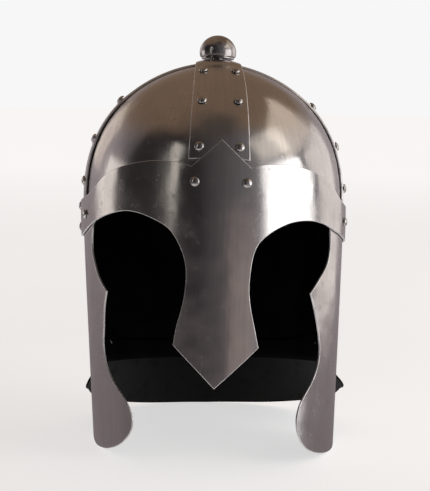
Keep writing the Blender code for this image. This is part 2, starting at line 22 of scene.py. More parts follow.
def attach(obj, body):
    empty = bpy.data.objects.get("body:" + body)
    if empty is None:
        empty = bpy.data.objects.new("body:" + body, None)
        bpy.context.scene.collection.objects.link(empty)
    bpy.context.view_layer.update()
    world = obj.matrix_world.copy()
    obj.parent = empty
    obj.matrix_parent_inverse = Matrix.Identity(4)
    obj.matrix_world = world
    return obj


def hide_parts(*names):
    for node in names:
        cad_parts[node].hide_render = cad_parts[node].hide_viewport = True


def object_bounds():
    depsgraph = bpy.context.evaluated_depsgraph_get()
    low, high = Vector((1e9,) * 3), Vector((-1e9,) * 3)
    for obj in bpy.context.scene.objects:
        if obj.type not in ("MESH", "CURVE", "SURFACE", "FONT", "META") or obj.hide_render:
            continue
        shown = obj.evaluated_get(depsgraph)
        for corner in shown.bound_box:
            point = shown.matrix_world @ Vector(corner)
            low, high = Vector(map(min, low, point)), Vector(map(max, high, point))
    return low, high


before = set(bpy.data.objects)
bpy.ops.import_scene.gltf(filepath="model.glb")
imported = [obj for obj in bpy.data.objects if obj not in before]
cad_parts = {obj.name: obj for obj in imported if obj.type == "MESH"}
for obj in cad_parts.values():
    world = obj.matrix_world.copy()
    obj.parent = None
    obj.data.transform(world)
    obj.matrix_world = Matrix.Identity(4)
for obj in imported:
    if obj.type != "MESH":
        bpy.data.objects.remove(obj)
CAD_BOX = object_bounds()

LOG = logging.getLogger("helmet")

Material = bpy.types.Material
Node = bpy.types.Node
Piece = bpy.types.Object
Shape = bmesh.types.BMesh
Socket = bpy.types.NodeSocket
Sockets = bpy.types.bpy_prop_collection
Tree = bpy.types.NodeTree
Pair = tuple[float, float]
Triple = tuple[float, float, float]
Span = Pair
Colour = Triple
Points = np.ndarray
Laid = tuple[Points, Points]
Runs = list[list[Vector]]

SHEET = 0.0016
FIT = 0.0005
ON_PANELS = SHEET + FIT
OVER_SHEET = 2 * (SHEET + FIT)
INSIDE_PANELS = -(SHEET + FIT)
TINY = 1e-9
WELD = 1e-6
WELD_PLACES = 6

FULL: Span = (0.0, 1.0)
# The Mix node's colour sockets go by place, because its other kinds have the same names
MIX_FIRST, MIX_SECOND, MIX_RESULT = 6, 7, 2


class Side(Enum):
    """The wearer's side as it is seen from the front, and its sign along X."""

    LEFT = ("left", -1)
    RIGHT = ("right", 1)

    @property
    def label(self) -> str:
        """The word that a piece's name carries."""
        return self.value[0]

    @property
    def sign(self) -> int:
        """Which way along X this side lies."""
        return self.value[1]


class Surface(Enum):
    """The faces of a sheet, in the order of its material slots."""

    OUTSIDE = 0
    INSIDE = 1
    RIM = 2


def eased(share: Points) -> Points:
    """0 to 1 with level ends."""
    share = np.clip(share, 0.0, 1.0)
    return share * share * (3 - 2 * share)


def rows(*columns: Points | float) -> Points:
    """A table with these columns."""
    return np.stack(np.broadcast_arrays(*columns), axis=1)


def unit(vectors: Points) -> Points:
    """Rows of a table of vectors at length 1."""
    return vectors / np.linalg.norm(vectors, axis=1, keepdims=True)


@dataclass(frozen=True)
class Form:
    """The form under every sheet: an ellipse at the brow line, a dome above, a wall below."""

    half_width: float = 0.0998
    half_length: float = 0.118
    crown_height: float = 0.1087
    dome_fullness: float = 2.44
    shoulder_fullness: float = 1.8
    wall_taper: float = 0.049
    taper_onset: float = 0.025
    crown_lean: float = radians(1.8)
    # How the form is met by a ray: a length beyond all of it, and how often that is halved
    farthest: float = 0.9068
    halvings: int = 40
    # The top itself has no slope to work out, so it takes the slope at this share of its rise
    near_top: float = 0.99999

    def breadth(self, heights: Points) -> Points:
        """Breadth at some heights, as a share of the breadth at the brow line.

        Args:
            heights: Heights above the brow line.

        Returns:
            The shares.
        """
        rise = np.clip(heights / self.crown_height, 0.0, 1.0)
        dome = (1 - rise**self.dome_fullness) ** (1 / self.shoulder_fullness)
        drawn_in = np.hypot(heights, self.taper_onset) - self.taper_onset
        return np.where(heights < 0, 1 - self.wall_taper * drawn_in / self.half_width, dome)

    def reached(self, rays: Points) -> Points:
        """Where rays from the middle of the brow line meet the form.

        Args:
            rays: One direction in each row.

        Returns:
            One point of the form in each row.
        """
        rays = unit(rays)
        near = np.zeros(len(rays))
        far = np.full(len(rays), self.farthest)
        for _ in range(self.halvings):
            middle = (near + far) / 2
            x, y, z = (rays * middle[:, None]).T
            across = np.hypot(x / self.half_width, y / self.half_length)
            inside = (z < self.crown_height) & (across < self.breadth(z))
            near, far = np.where(inside, middle, near), np.where(inside, far, middle)
        return rays * near[:, None]

    def normals(self, points: Points) -> Points:
        """The way out of the form at points on it.

        Args:
            points: One point of the form in each row.

        Returns:
            One direction of length 1 in each row.
        """
        x, y, z = points.T
        across = np.maximum(TINY, np.hypot(x / self.half_width, y / self.half_length))
        rise = np.clip(z / self.crown_height, 0.0, self.near_top)
        dome = self.dome_fullness / self.shoulder_fullness / self.crown_height
        dome = dome * rise ** (self.dome_fullness - 1)
        dome *= (1 - rise**self.dome_fullness) ** (1 / self.shoulder_fullness - 1)
        wall = self.wall_taper / self.half_width * z / np.hypot(z, self.taper_onset)
        out_x, out_y = x / self.half_width**2 / across, y / self.half_length**2 / across
        return unit(rows(out_x, out_y, np.where(z < 0, wall, dome)))

    def leaning(self, points: Points, lean: Points | float = 1.0) -> Points:
        """Points moved over the form with the crown's lean.

        Args:
            points: One point in each row.
            lean: The share of the lean, for all points or for each.

        Returns:
            One point of the form in each row.
        """
        x, y, z = points.T
        turn = self.crown_lean * lean
        across = x * np.cos(turn) + z * np.sin(turn)
        return self.reached(rows(across, y, z * np.cos(turn) - x * np.sin(turn)))

    def around(self, turns: Points, heights: Points, lean: Points | float) -> Points:
        """Points of the form by the way round it and the height.

        Args:
            turns: Radians round from the front, positive to the right.
            heights: Heights above the brow line.
            lean: The share of the crown's lean.

        Returns:
            One point of the form in each row.
        """
        share = self.breadth(heights)
        x, y = self.half_width * share * np.sin(turns), -self.half_length * share * np.cos(turns)
        return self.leaning(rows(x, y, heights), lean)

    def lifted(self, points: Points, depth: Points | float) -> Laid:
        """Points of the form moved out of it by a depth, and the way out there."""
        out = self.normals(points)
        return points + out * np.reshape(depth, (-1, 1)), out


FORM = Form()


@dataclass(frozen=True)
class Stand:
    """Where the upright helmet stands, read from where the solids of the rivets are."""

    placing: Matrix

    @classmethod
    def from_rivets(cls, made: Points, packed: Points) -> "Stand":
        """The turn and shift that take made points to packed ones.

        Args:
            made: The rivets' middles as this script places them, upright.
            packed: The same rivets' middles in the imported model.

        Returns:
            The placing, as a stand.
        """
        made_middle, packed_middle = made.mean(axis=0), packed.mean(axis=0)
        left, _, right = np.linalg.svd((made - made_middle).T @ (packed - packed_middle))
        turn = (left @ np.diag([1.0, 1.0, np.linalg.det(left @ right)]) @ right).T
        shift = packed_middle - turn @ made_middle
        off = np.abs(made @ turn.T + shift - packed).max()
        LOG.info("stand: rivets within %.3f mm", 1000 * off)
        return cls(Matrix.Translation(Vector(shift)) @ Matrix(turn.tolist()).to_4x4())

    def set_down(self, piece: Piece, node: str) -> None:
        """Stands a finished, upright piece on the floor in the place of its solid.

        Args:
            piece: The piece.
            node: The solid that it stands for.
        """
        piece.data.transform(self.placing)
        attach(piece, "root")
        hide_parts(node)
        LOG.info("%s: %d faces", piece.name, len(piece.data.polygons))


def add_object(name: str, shape: Shape, materials: list[Material]) -> Piece:
    """A bmesh made an object at the origin.

    Args:
        name: The object's name.
        shape: The bmesh, which is freed.
        materials: Its material slots in order.

    Returns:
        The object, linked to the scene.
    """
    mesh = bpy.data.meshes.new(name)
    shape.to_mesh(mesh)
    shape.free()
    for material in materials:
        mesh.materials.append(material)
    piece = bpy.data.objects.new(name, mesh)
    bpy.context.scene.collection.objects.link(piece)
    return piece


def flat_point(degrees_round: float, height: float, side: int = 1) -> Vector:
    """A point of a flat pattern from degrees round the form and height."""
    return Vector((side * radians(degrees_round) * FORM.half_width, height))


def rectangle(left: float, low: float, right: float, high: float) -> list[Vector]:
    """The corners of a plain flat pattern."""
    return [Vector(corner) for corner in ((left, low), (right, low), (right, high), (left, high))]


def smooth_run(points: list[Vector], step: float) -> list[Vector]:
    """Points at an even step along a smooth curve.

    Args:
        points: The points that the curve goes through.
        step: Metres between the new points.

    Returns:
        The new points without the last one.
    """
    ends = [2 * points[0] - points[1], *points, 2 * points[-1] - points[-2]]
    run = []
    for before, start, end, after in zip(ends, ends[1:], ends[2:], ends[3:]):
        count = max(1, round((end - start).length / step))
        for share in (place / count for place in range(count)):
            bend = (2 * before - 5 * start + 4 * end - after) * share**2
            bend += (3 * start - before - 3 * end + after) * share**3
            run.append(start + 0.5 * ((end - before) * share + bend))
    return run


def closed_outline(runs: Runs, step: float) -> list[Vector]:
    """An outline from runs that meet at corners."""
    return [point for run in runs for point in smooth_run(run, step)]


def reversed_runs(runs: Runs) -> Runs:
    """The same runs of an outline, walked the other way."""
    return [list(reversed(run)) for run in reversed(runs)]


@dataclass
class Sheet:
    """A sheet piece: cut flat, thickened, its rims eased, and bent over the form."""

    name: str
    outline: list[Vector]
    lay: Callable[[Points, Points], Laid]
    rim: float = 0.00045
    rim_steps: int = 2
    painted_rim: bool = False
    cell: float = 0.0036
    cut_weld: float = 2e-5
    level_face: float = 0.99
    crease: float = radians(15)

    def flat(self) -> Shape:
        """Cuts the flat sheet, with its inner face at 0 and its rims rounded.

        Returns:
            The flat sheet.
        """
        shape = bmesh.new()
        shape.faces.new([shape.verts.new((*point, 0.0)) for point in self.outline])
        made = bmesh.ops.extrude_face_region(shape, geom=shape.faces[:], use_keep_orig=True)
        raised = [part for part in made["geom"] if isinstance(part, bmesh.types.BMVert)]
        bmesh.ops.translate(shape, verts=raised, vec=(0, 0, SHEET))
        bmesh.ops.recalc_face_normals(shape, faces=shape.faces)
        rims = [edge for edge in shape.edges if edge.verts[0].co.z == edge.verts[1].co.z]
        bmesh.ops.bevel(
            shape, geom=rims, affect="EDGES", offset=self.rim, segments=self.rim_steps,
            profile=0.5, material=-1, clamp_overlap=True,
        )
        return shape

    def divide(self, shape: Shape) -> None:
        """Cuts the flat sheet into cells small enough to bend.

        Args:
            shape: The flat sheet.
        """
        for axis, normal in enumerate(((1, 0, 0), (0, 1, 0))):
            places = [vertex.co[axis] for vertex in shape.verts]
            for count in range(ceil(min(places) / self.cell), floor(max(places) / self.cell) + 1):
                parts = shape.verts[:] + shape.edges[:] + shape.faces[:]
                cut = {"plane_co": Vector(normal) * count * self.cell, "plane_no": normal}
                bmesh.ops.bisect_plane(shape, geom=parts, dist=self.cut_weld, **cut)

    def mark(self, shape: Shape) -> None:
        """Keeps the flat pattern as a UV map, the way to the rim, and each face's surface.

        Args:
            shape: The flat, divided sheet.
        """
        pattern = shape.loops.layers.uv.new("pattern")
        from_rim = shape.verts.layers.float.new("from_rim")
        starts = np.array(self.outline)
        along = np.roll(starts, -1, axis=0) - starts
        for vertex in shape.verts:
            reach = np.array(vertex.co.xy) - starts
            share = np.clip((reach * along).sum(axis=1) / (along * along).sum(axis=1), 0, 1)
            vertex[from_rim] = np.linalg.norm(reach - along * share[:, None], axis=1).min()
        for face in shape.faces:
            surface = Surface.RIM
            if abs(face.normal.z) > self.level_face:
                surface = Surface.OUTSIDE if face.normal.z > 0 else Surface.INSIDE
            face.material_index = surface.value
            face.smooth = True
            for loop in face.loops:
                loop[pattern].uv = loop.vert.co.xy

    def bend(self, shape: Shape) -> None:
        """Lays every vertex of the flat sheet on the form.

        Args:
            shape: The flat, divided sheet.
        """
        flat = np.array([vertex.co for vertex in shape.verts])
        base, out = self.lay(flat[:, 0], flat[:, 1])
        for vertex, place in zip(shape.verts, base + out * flat[:, 2:]):
            vertex.co = place

    def piece(self, finishes: list[Material]) -> Piece:
        """Builds and dresses the finished sheet.

        Args:
            finishes: The materials of its surfaces, in the order of Surface.

        Returns:
            The object, still upright.
        """
        shape = self.flat()
        self.divide(shape)
        self.mark(shape)
        self.bend(shape)
        outside, inside, rim = finishes
        dressing = [outside, inside, inside if self.painted_rim else rim]
        made = add_object(f"finished_{self.name}", shape, dressing)
        made.data.set_sharp_from_angle(angle=self.crease)
        return made


class SheetWork:
    """A sub-assembly of sheets."""

    def sheets(self) -> list[Sheet]:
        """Its sheets."""
        raise NotImplementedError

    def build(self, stand: Stand, finishes: list[Material]) -> None:
        """Builds its sheets and stands them in their places."""
        for sheet in self.sheets():
            stand.set_down(sheet.piece(finishes), sheet.name)


@dataclass
class CrownPanels(SheetWork):
    """Four quarters of the dome; the rear two run on down to the nape."""

    seam: float = radians(1.7)
    top_hole: float = 0.007
    front_rim_drop: float = 0.0045
    side_rim_drop: float = 0.0255
    rim_falls_from: float = 50.0
    rim_falls_over: float = 26.0
    nape_drop: float = 0.128
    nape_corner: float = radians(107)
    pattern_width: float = 0.165
    pattern_height: float = 0.155

    def laid(self, side: int, rear: bool, u: Points, v: Points) -> Laid:
        """Lays a panel's flat pattern on the form.

        Args:
            side: Which way along X it lies.
            rear: Whether it is a rear panel.
            u: Places across the pattern.
            v: Places up the pattern, below 0 in the skirt of a rear panel.

        Returns:
            Points and the ways out there.
        """
        start = self.seam + (pi / 2 if rear else 0)
        end = (pi if rear else pi / 2) - self.seam
        skirt = self.nape_drop - self.side_rim_drop
        down = np.clip(-v / skirt, 0.0, 1.0)
        across = u / self.pattern_width
        front_edge = start + (self.nape_corner - start) * down
        turns = front_edge + (end - front_edge) * (across if side > 0 else 1 - across)
        rim = np.full(len(u), -self.side_rim_drop)
        if not rear:
            fall = eased((np.degrees(turns) - self.rim_falls_from) / self.rim_falls_over)
            rim = -self.front_rim_drop - (self.side_rim_drop - self.front_rim_drop) * fall
        low, top = np.arctan2(rim, FORM.half_length), atan2(FORM.crown_height, self.top_hole)
        angle = low + (top - low) * np.clip(v / self.pattern_height, 0.0, 1.0)
        x, y = side * FORM.half_width * np.sin(turns), -FORM.half_length * np.cos(turns)
        dome = FORM.leaning(rows(x, y, np.hypot(x, y) * np.tan(angle)))
        wall = FORM.around(side * turns, rim - skirt * down, 1 - down)
        return FORM.lifted(np.where(v[:, None] < 0, wall, dome), 0.0)

    def sheets(self) -> list[Sheet]:
        """Lists the four panels.

        Returns:
            Their sheets.
        """
        made = []
        for side in Side:
            for end, low in (("front", 0.0), ("rear", self.side_rim_drop - self.nape_drop)):
                outline = rectangle(0.0, low, self.pattern_width, self.pattern_height)
                lay = partial(self.laid, side.sign, end == "rear")
                made.append(Sheet(f"crown_panel_{end}_{side.label}", outline, lay))
        return made


@dataclass
class Bands(SheetWork):
    """The fore-and-aft band, joggled over the crest, and the transverse band under it."""

    crest_half: float = 0.0163
    end_half: float = 0.0228
    widens_over: float = radians(75)
    front_end: float = 0.029
    rear_end_drop: float = 0.126
    side_end_drop: float = 0.0105
    skew: float = 0.014
    joggle_start: float = 0.009
    joggle_length: float = 0.013
    pattern_half: float = 0.019
    pattern_radius: float = 0.11
    rim: float = 0.0007
    rim_steps: int = 3
    # Over the crest the transverse band lies tight and its edges are feathered. Where both end
    # is given as the sine of the angle above the brow line.
    crest_gap: float = 0.00008
    gap_opens_at: float = 0.82
    gap_opens_over: float = 0.12
    feather: float = 0.95
    feather_share: float = 0.8
    feather_ends_at: float = 0.74
    feather_ends_over: float = 0.2
    # There the fore-and-aft band's edges come down, from this share of its half-width
    crest_edge_drop: float = 0.0009
    crest_edge_share: float = 0.5

    def end_angle(self, height: float, half_breadth: float) -> float:
        """Radians above the horizon at which the form's middle line has a height."""
        return atan2(height, half_breadth * float(FORM.breadth(np.array(height))))

    def strip(self, u: Points, v: Points) -> tuple[Points, Points, Points, Points]:
        """Reads a band's flat pattern.

        Args:
            u: Places across the pattern.
            v: Places along the pattern.

        Returns:
            The run and the rise of the way along, metres off the middle line, and the share
            of the half-width.
        """
        angle = v / self.pattern_radius
        widening = np.minimum(1.0, np.abs(angle - pi / 2) / self.widens_over)
        half = self.crest_half + (self.end_half - self.crest_half) * widening
        across = u / self.pattern_half
        return np.cos(angle), np.sin(angle), across * half, np.abs(across)

    def over_crest(self, u: Points, v: Points) -> Laid:
        """Lays the fore-and-aft band over the crest.

        Args:
            u: Places across its pattern.
            v: Places along its pattern.

        Returns:
            Points and the ways out there.
        """
        run, up, offset, share = self.strip(u, v)
        centre = FORM.reached(rows(0.0, -run, up))
        from_crest = np.where(up > 0, np.abs(centre[:, 1]), FORM.half_length)
        way = (from_crest - self.crest_half - self.joggle_start) / self.joggle_length
        centre[:, 0] += offset + self.skew * centre[:, 1]
        edge = eased((share - self.crest_edge_share) / (1 - self.crest_edge_share))
        raised = OVER_SHEET - ON_PANELS - self.crest_edge_drop * edge
        return FORM.lifted(FORM.leaning(centre), ON_PANELS + raised * eased(1 - way))

    def ear_to_ear(self, u: Points, v: Points) -> Laid:
        """Lays the transverse band on the panels.

        Args:
            u: Places across its pattern.
            v: Places along its pattern.

        Returns:
            Points and the ways out there.
        """
        run, up, offset, share = self.strip(u, v)
        centre = FORM.reached(rows(run, 0.0, up))
        centre[:, 1] += offset
        tight = eased(1 + (up - self.gap_opens_at) / self.gap_opens_over)
        depth = ON_PANELS - (FIT - self.crest_gap) * tight
        base, out = FORM.lifted(FORM.leaning(centre), depth)
        at_rim = eased((share - self.feather_share) / (1 - self.feather_share))
        at_rim *= eased(1 + (up - self.feather_ends_at) / self.feather_ends_over)
        out[:, 1] -= np.sign(u) * self.feather * at_rim
        return base, out

    def sheets(self) -> list[Sheet]:
        """Lists both bands.

        Returns:
            Their sheets.
        """
        front = self.end_angle(self.front_end, FORM.half_length)
        rear = pi - self.end_angle(-self.rear_end_drop, FORM.half_length)
        side = self.end_angle(-self.side_end_drop, FORM.half_width)
        half, radius = self.pattern_half, self.pattern_radius
        made = []
        for name, lay, low, high in (
            ("band_fore_aft", self.over_crest, front, rear),
            ("band_transverse", self.ear_to_ear, side, pi - side),
        ):
            outline = rectangle(-half, low * radius, half, high * radius)
            made.append(Sheet(name, outline, lay, self.rim, self.rim_steps))
        return made


@dataclass
class FacePlate(SheetWork):
    """Brow, eye arches and spear-ended nasal in one plate."""

    brow_height: float = 0.0268
    point_height: float = 0.0425
    point_half_width: float = 0.0212
    point_foot: float = 0.86
    nasal_half_width: float = 0.0317
    nasal_shoulder: float = 0.1095
    nasal_tip: float = 0.140
    # Degrees round at which it is drawn in deepest, and on both sides at which it no longer is
    seated: float = 31.0
    raised: Span = (14.0, 50.0)
    seated_share: float = 0.6
    step: float = 0.0016
    # Upper edge: degrees round, and share of the brow's height
    brow_edge: tuple[Pair, ...] = (
        (19.0, 0.97),
        (31.0, 1.00),
        (44.5, 0.85),
        (55.0, 0.61),
        (66.0, 0.19),
        (80.0, 0.00),
        (103.0, -0.06),
    )
    # Eye arches: degrees round, and drop on the left and right as shares of the shoulder's drop
    eye_arch: tuple[Triple, ...] = (
        (103.0, 0.275, 0.270),
        (80.0, 0.250, 0.240),
        (62.0, 0.160, 0.188),
        (50.0, 0.110, 0.138),
        (40.0, 0.092, 0.122),
        (30.0, 0.130, 0.148),
        (20.5, 0.212, 0.226),
    )
    # Nasal: share of its half-width, and drop on the left and right as above
    nasal_edge: tuple[Triple, ...] = (
        (0.82, 0.36, 0.335),
        (0.72, 0.50, 0.540),
        (0.76, 0.68, 0.700),
        (0.92, 0.87, 0.890),
        (1.00, 1.00, 0.985),
    )

    def half(self, side: int, column: int) -> Runs:
        """Half of the outline, from the point over the brow and back by the eye to the tip.

        Args:
            side: Which way along X it lies.
            column: Its column of drops.

        Returns:
            Runs of points that meet at corners.
        """
        foot = Vector((side * self.point_half_width, self.point_foot * self.brow_height))
        brow = [flat_point(turn, share * self.brow_height, side) for turn, share in self.brow_edge]
        shoulder, half_width = self.nasal_shoulder, self.nasal_half_width
        eye = [flat_point(row[0], -row[column] * shoulder, side) for row in self.eye_arch]
        for row in self.nasal_edge:
            eye.append(Vector((side * row[0] * half_width, -row[column] * shoulder)))
        point, tip = Vector((0, self.point_height)), Vector((0, -self.nasal_tip))
        return [[point, foot], [foot, *brow], [brow[-1], eye[0]], eye, [eye[-1], tip]]

    def laid(self, u: Points, v: Points) -> Laid:
        """Lays the plate over the band and the cheek plates, drawn in between them.

        Args:
            u: Metres round the form.
            v: Heights.

        Returns:
            Points and the ways out there.
        """
        turns = u / FORM.half_width
        away = np.degrees(np.abs(turns)) - self.seated
        rise = eased(-away / (self.seated - self.raised[0]))
        rise += eased(away / (self.raised[1] - self.seated))
        depth = OVER_SHEET - (OVER_SHEET - ON_PANELS) * self.seated_share * (1 - rise)
        return FORM.lifted(FORM.around(turns, v, 1.0), depth)

    def sheets(self) -> list[Sheet]:
        """The plate."""
        runs = self.half(-1, 1) + reversed_runs(self.half(1, 2))
        return [Sheet("face_plate", closed_outline(runs, self.step), self.laid)]


@dataclass
class CheekPlates(SheetWork):
    """The two shaped cheek plates, cut by hand a little differently."""

    left_drop: float = 0.1905
    right_drop: float = 0.1944
    top_drop: float = 0.005
    rear_top_drop: float = 0.0145
    step_at: float = 75.5
    rear: float = 101.0
    step: float = 0.0016
    # Drop as a share of the plate's, and degrees round on the left and right, down to the cusp
    eye_edge: tuple[Triple, ...] = (
        (0.100, 68.0, 58.0),
        (0.180, 69.7, 58.4),
        (0.250, 66.9, 55.8),
        (0.310, 62.5, 49.4),
        (0.360, 56.7, 43.8),
    )
    # The same from the cusp by waist and foot to the rear edge
    jaw_edge: tuple[Triple, ...] = (
        (0.430, 59.2, 47.3),
        (0.520, 60.7, 50.9),
        (0.580, 61.6, 52.2),
        (0.645, 60.0, 51.2),
        (0.710, 55.4, 46.9),
        (0.780, 47.5, 40.2),
        (0.830, 43.3, 37.9),
        (0.870, 42.3, 37.7),
        (0.915, 43.4, 39.2),
        (0.960, 48.6, 43.4),
        (0.988, 56.0, 51.0),
        (1.000, 66.0, 63.0),
        (0.990, 80.0, 79.0),
        (0.945, 92.0, 91.0),
        (0.860, 99.0, 99.0),
        (0.780, 101.0, 101.0),
    )

    def laid(self, u: Points, v: Points) -> Laid:
        """A cheek plate on the panels, upright."""
        return FORM.lifted(FORM.around(u / FORM.half_width, v, 0.0), ON_PANELS)

    def sheets(self) -> list[Sheet]:
        """Lists both plates.

        Returns:
            Their sheets.
        """
        made = []
        drops = zip(Side, (self.left_drop, self.right_drop))
        for column, (side, drop) in enumerate(drops, start=1):
            eye = [flat_point(row[column], -row[0] * drop, side.sign) for row in self.eye_edge]
            jaw = [flat_point(row[column], -row[0] * drop, side.sign) for row in self.jaw_edge]
            top = flat_point(self.eye_edge[0][column], -self.top_drop, side.sign)
            step_top = flat_point(self.step_at, -self.top_drop, side.sign)
            step_foot = flat_point(self.step_at, -self.rear_top_drop, side.sign)
            rear = flat_point(self.rear, -self.rear_top_drop, side.sign)
            runs = [[top, *eye], [eye[-1], *jaw]]
            corners = [jaw[-1], rear, step_foot, step_top, top]
            runs += [list(pair) for pair in zip(corners, corners[1:])]
            outline = closed_outline(runs, self.step)
            made.append(Sheet(f"cheek_plate_{side.label}", outline, self.laid))
        return made


@dataclass
class NeckGuard(SheetWork):
    """The flared guard, tucked inside the nape."""

    top_drop: float = 0.115
    end_rise: float = 0.009
    end: float = radians(104)
    drop: float = 0.171
    end_drop: float = 0.152
    corner: float = 0.011
    corner_steps: int = 5
    flare: float = 0.031
    end_flare_left: float = 0.0160
    end_flare_right: float = 0.0238
    flare_curve: float = 1.05
    flare_start: float = -0.1285
    step: float = 0.0022
    # Way to the end as a share of half the guard, and rise as a share of the rise there
    lower_edge: tuple[Pair, ...] = ((0.00, 0.00), (0.35, 0.06), (0.70, 0.45))
    upper_edge: tuple[Pair, ...] = ((1.00, 1.00), (0.80, 0.80), (0.60, 0.15), (0.00, 0.00))

    @property
    def half(self) -> float:
        """Half its width round the form."""
        return (pi - self.end) * FORM.half_width

    def laid(self, u: Points, v: Points) -> Laid:
        """Lays the guard inside the nape, spreading below it.

        Args:
            u: Metres round the form from the middle of the back.
            v: Heights.

        Returns:
            Points and the ways out there.
        """
        share = np.abs(u) / self.half
        reach = self.flare_start + self.drop - (self.drop - self.end_drop) * share
        down = np.maximum(0.0, (self.flare_start - v) / reach)
        end_flare = np.where(u > 0, self.end_flare_left, self.end_flare_right)
        flare = self.flare + (end_flare - self.flare) * eased(share)
        base, _ = FORM.lifted(FORM.around(pi + u / FORM.half_width, v, 0.0), INSIDE_PANELS)
        out = FORM.normals(base)
        out[:, 2] = 0
        out = unit(out)
        spread = base + out * (flare * down**self.flare_curve)[:, None]
        steep = self.flare_curve * flare * np.maximum(down, TINY) ** (self.flare_curve - 1) / reach
        out[:, 2] = np.where(down > 0, steep, 0.0)
        return spread, unit(out)

    def sheets(self) -> list[Sheet]:
        """Lists the guard.

        Returns:
            Its sheet.
        """
        lower, upper = (
            [Vector((way * self.half, share * rise - drop)) for way, share in edge]
            for edge, rise, drop in (
                (self.lower_edge, self.drop - self.end_drop, self.drop),
                (self.upper_edge, self.end_rise, self.top_drop),
            )
        )
        for step in range(self.corner_steps + 1):
            turn = pi / 2 * (step / self.corner_steps - 1)
            across, up = self.corner * (1 - cos(turn)), self.corner * (1 + sin(turn))
            lower.append(Vector((self.half - across, up - self.end_drop)))
        seam = Vector((self.half, self.flare_start))
        right = [lower, [lower[-1], seam], [seam, upper[0]], upper]
        left = reversed_runs([[Vector((-point.x, point.y)) for point in run] for run in right])
        outline = closed_outline(right + left, self.step)
        return [Sheet("neck_guard", outline, self.laid, painted_rim=True)]


def facing(point: Vector, out: Vector) -> Matrix:
    """The placing of a turned piece at a point, its axis along a direction."""
    return Matrix.Translation(point) @ out.to_track_quat("Z", "Y").to_matrix().to_4x4()


def turned(profile: list[Pair], sides: int) -> Shape:
    """A closed turned shape.

    Args:
        profile: Radii and heights, from the axis to the axis.
        sides: Steps of the full turn.

    Returns:
        The shape round the Z axis.
    """
    shape = bmesh.new()
    line = [shape.verts.new((radius, 0, height)) for radius, height in profile]
    edges = [shape.edges.new(pair) for pair in zip(line, line[1:])]
    turn = {"axis": (0, 0, 1), "angle": 2 * pi, "steps": sides, "use_merge": True}
    bmesh.ops.spin(shape, geom=line + edges, **turn)
    bmesh.ops.remove_doubles(shape, verts=shape.verts, dist=WELD)
    bmesh.ops.recalc_face_normals(shape, faces=shape.faces)
    for face in shape.faces:
        face.smooth = True
    return shape


@dataclass
class Finial:
    """A turned ball on a collar, its stem and the washer inside the crown."""

    ball_radius: float = 0.0146
    ball_half_height: float = 0.0137
    centre_rise: float = 0.0054
    neck_radius: float = 0.0118
    neck_height: float = 0.0003
    collar_radius: float = 0.0131
    collar_height: float = 0.0016
    collar_round: float = 0.0005
    stem_radius: float = 0.004
    washer_radius: float = 0.010
    washer_thickness: float = 0.0015
    sides: int = 72
    ball_steps: int = 22
    crease: float = radians(40)

    def profile(self) -> list[Pair]:
        """Its half section, from the washer's underside to the top of the ball.

        Returns:
            Radii and heights, from the axis to the axis.
        """
        seat = OVER_SHEET + SHEET + FIT
        centre = seat + self.centre_rise
        sag = FORM.crown_height / FORM.dome_fullness
        sag *= (self.washer_radius / FORM.half_width) ** FORM.shoulder_fullness
        washer = -sag - FIT
        washer_foot = washer - self.washer_thickness
        collar_top = seat + self.collar_height
        collar_flat = self.collar_radius - self.collar_round
        foot = collar_top + self.neck_height
        low = -asin((centre - foot) / self.ball_half_height)
        angles = [low + (pi / 2 - low) * step / self.ball_steps for step in range(self.ball_steps)]
        return [
            (0, washer_foot),
            (self.washer_radius - self.collar_round, washer_foot),
            (self.washer_radius, washer_foot + self.collar_round),
            (self.washer_radius, washer),
            (self.stem_radius, washer),
            (self.stem_radius, seat),
            (collar_flat, seat),
            (self.collar_radius, seat + self.collar_round),
            (self.collar_radius, collar_top - self.collar_round),
            (collar_flat, collar_top),
            (self.neck_radius, collar_top),
            (self.neck_radius, foot),
            *((self.ball_radius * cos(a), centre + self.ball_half_height * sin(a)) for a in angles),
            (0, centre + self.ball_half_height),
        ]

    def build(self, stand: Stand, material: Material) -> None:
        """Builds the finial over the crest.

        Args:
            stand: Where the helmet stands.
            material: Its finish.
        """
        crest = Vector(FORM.leaning(np.array([[0.0, 0.0, 1.0]]))[0])
        shape = turned(self.profile(), self.sides)
        bmesh.ops.transform(shape, matrix=facing(crest, crest.normalized()), verts=shape.verts)
        piece = add_object("finished_finial", shape, [material])
        piece.data.set_sharp_from_angle(angle=self.crease)
        stand.set_down(piece, "finial")


@dataclass(frozen=True)
class RivetSite:
    """One rivet: its name, the point of the form under it, its head's seat, the inner sheet."""

    name: str
    point: Points
    seat: float
    inner: float = 0.0

    @property
    def out(self) -> Points:
        """The way out of the form there."""
        return FORM.normals(self.point[None])[0]


